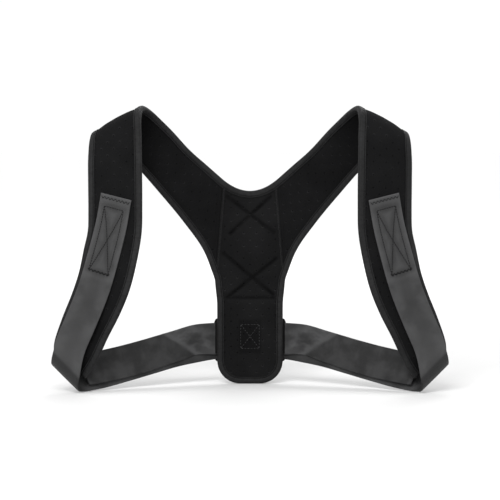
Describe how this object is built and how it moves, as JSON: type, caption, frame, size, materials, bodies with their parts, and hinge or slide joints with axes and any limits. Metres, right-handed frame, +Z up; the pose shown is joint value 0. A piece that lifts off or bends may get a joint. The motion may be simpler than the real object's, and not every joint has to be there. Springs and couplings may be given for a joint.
{
  "type": "posture corrector brace",
  "caption": "Worn brace of padded shoulder straps on a quilted back panel, with webbing that runs under the arms and back to a keeper on the panel's tab.",
  "frame": {"origin": "midway between the two shoulder turns, where the brace sits on the wearer", "axes": "+X across the brace, to the right as seen from the chest side, +Y from the chest to behind the back, +Z up. Left and right in node names are as seen from the chest side."},
  "size_m": [0.4574, 0.1246, 0.3298],
  "materials": {
    "quilt": "matte quilted knit",
    "pad": "matte perforated padding",
    "tape": "smooth edge tape",
    "webbing": "satin hook-and-loop webbing",
    "keeper": "stiff woven patch"
  },
  "bodies": {
    "root": {"back_panel": "quilt", "left_strap_pad": "pad", "right_strap_pad": "pad", "neck_tape": "tape", "outer_tape": "tape", "left_webbing": "webbing", "right_webbing": "webbing", "tab_keeper": "keeper"}
  },
  "joints": []
}
